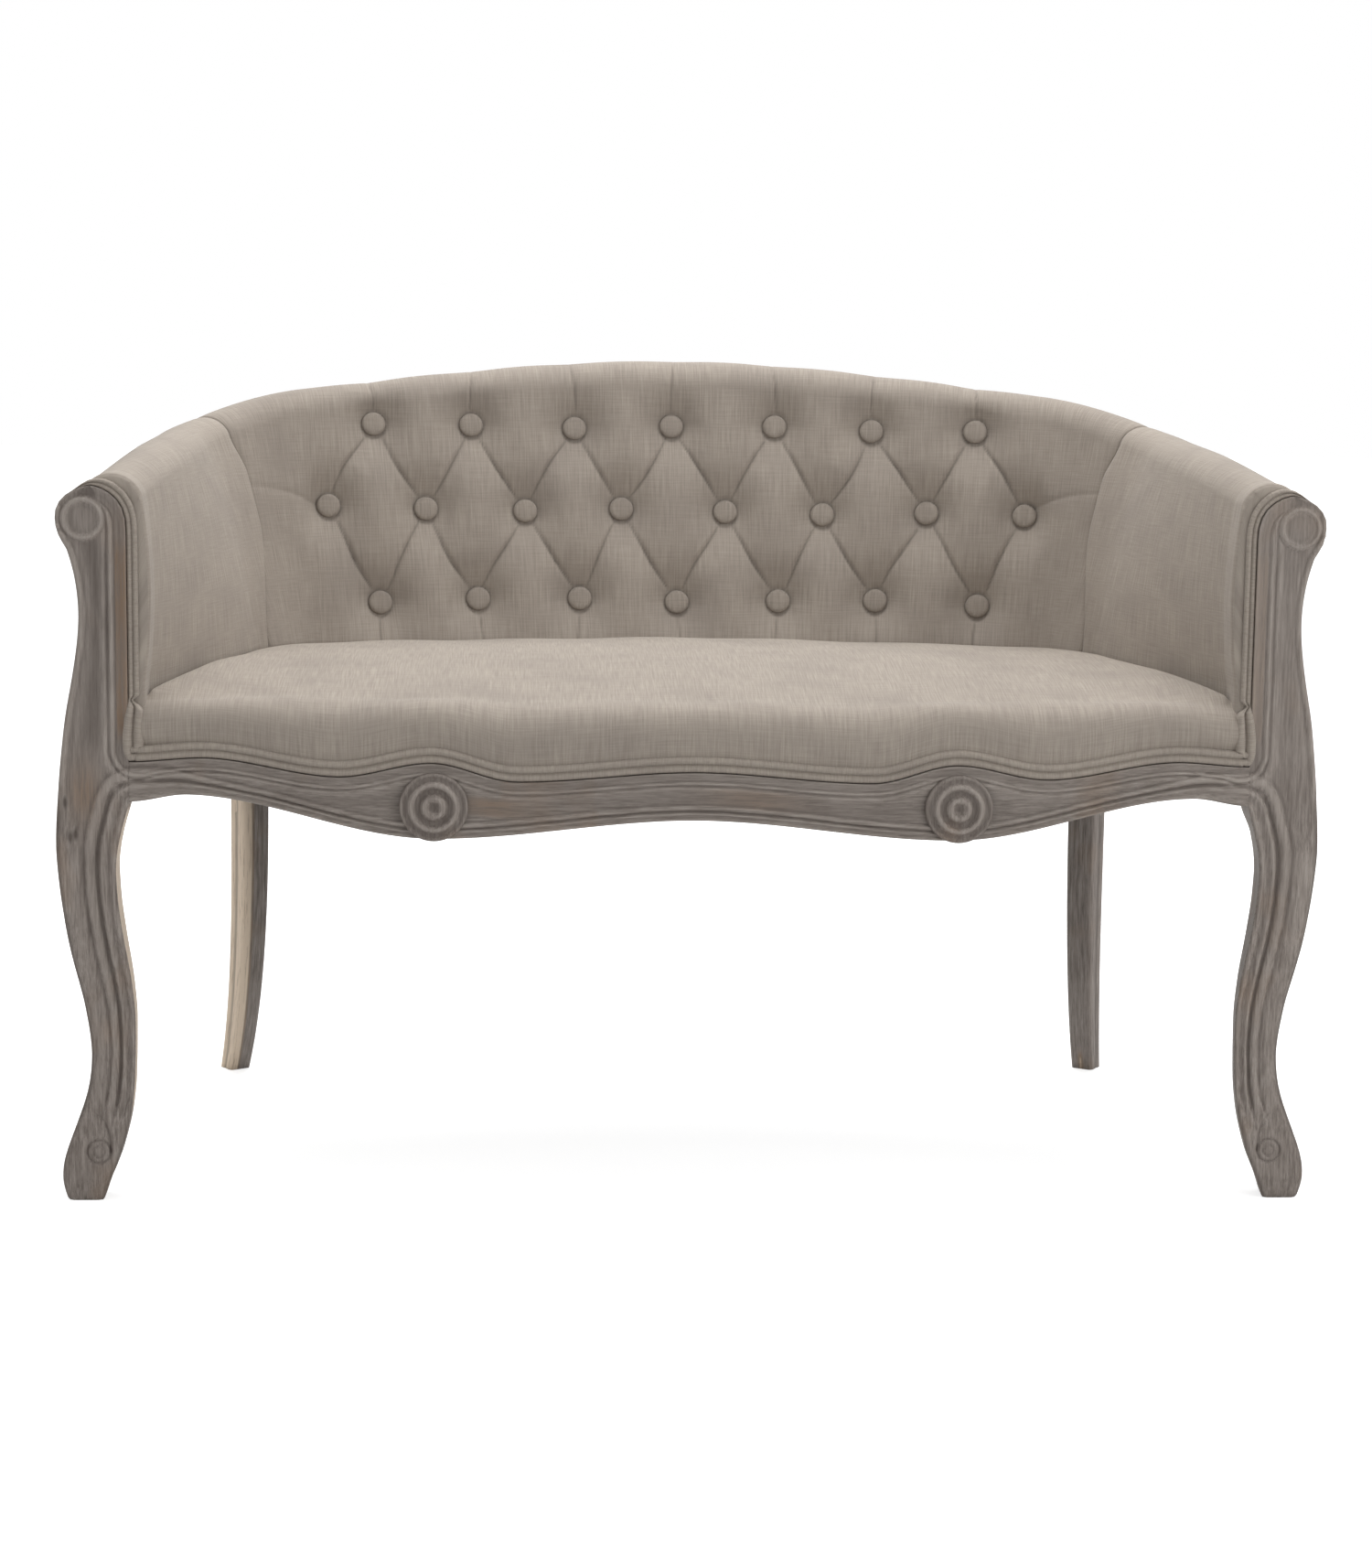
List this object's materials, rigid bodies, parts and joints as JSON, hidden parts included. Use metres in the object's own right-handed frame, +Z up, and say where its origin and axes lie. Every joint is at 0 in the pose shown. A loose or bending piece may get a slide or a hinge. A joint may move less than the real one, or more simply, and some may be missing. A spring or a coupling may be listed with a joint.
{
  "type": "tufted sofa",
  "caption": "Small show-wood loveseat with a curved button-tufted back, low rolled arms, serpentine carved apron and cabriole legs.",
  "frame": {"origin": "centre of the object's footprint box, on the floor", "axes": "+X to the right as seen from the front, -Y to the front, +Z up"},
  "size_m": [1.252, 0.6295, 0.825],
  "materials": {
    "show_wood": "limewashed, matt waxed, weathered grey-brown",
    "frame_wood": "raw sawn beech",
    "steel": "zinc plated",
    "foam": "upholstery foam",
    "linen": "natural greige linen weave",
    "linen_welt": "the same linen over cord",
    "linen_outside": "the same linen, stretched flat",
    "webbing": "jute webbing",
    "dust_cloth": "black non-woven cloth"
  },
  "bodies": {
    "root": {"arm_cover_left": "linen", "arm_cover_right": "linen", "arm_foam_left": "foam", "arm_foam_right": "foam", "arm_top_rail_left": "frame_wood", "arm_top_rail_right": "frame_wood", "arm_tuck_rail_left": "frame_wood", "arm_tuck_rail_right": "frame_wood", "arm_welt_left": "linen_welt", "arm_welt_right": "linen_welt", "back_cover": "linen", "back_foam": "foam", "back_rail": "show_wood", "back_top_rail": "frame_wood", "back_tuck_rails": "frame_wood", "back_uprights": "frame_wood", "back_webbing": "webbing", "base_welt": "linen_welt", "block_screws": "steel", "dust_cover": "dust_cloth", "front_corner_blocks": "frame_wood", "front_leg_left": "show_wood", "front_leg_right": "show_wood", "front_rail": "show_wood", "outside_arm_cover_left": "linen_outside", "outside_arm_cover_right": "linen_outside", "outside_back_cover": "linen_outside", "rail_dowels": "frame_wood", "rear_corner_blocks": "frame_wood", "rear_leg_left": "show_wood", "rear_leg_right": "show_wood", "rosette_left": "show_wood", "rosette_right": "show_wood", "seat_brace": "frame_wood", "seat_cover": "linen", "seat_foam": "foam", "seat_front_welt": "linen_welt", "seat_webbing_cross": "webbing", "seat_webbing_long": "webbing", "side_rail_left": "show_wood", "side_rail_right": "show_wood", "tufting_buttons": "linen"}
  },
  "joints": []
}
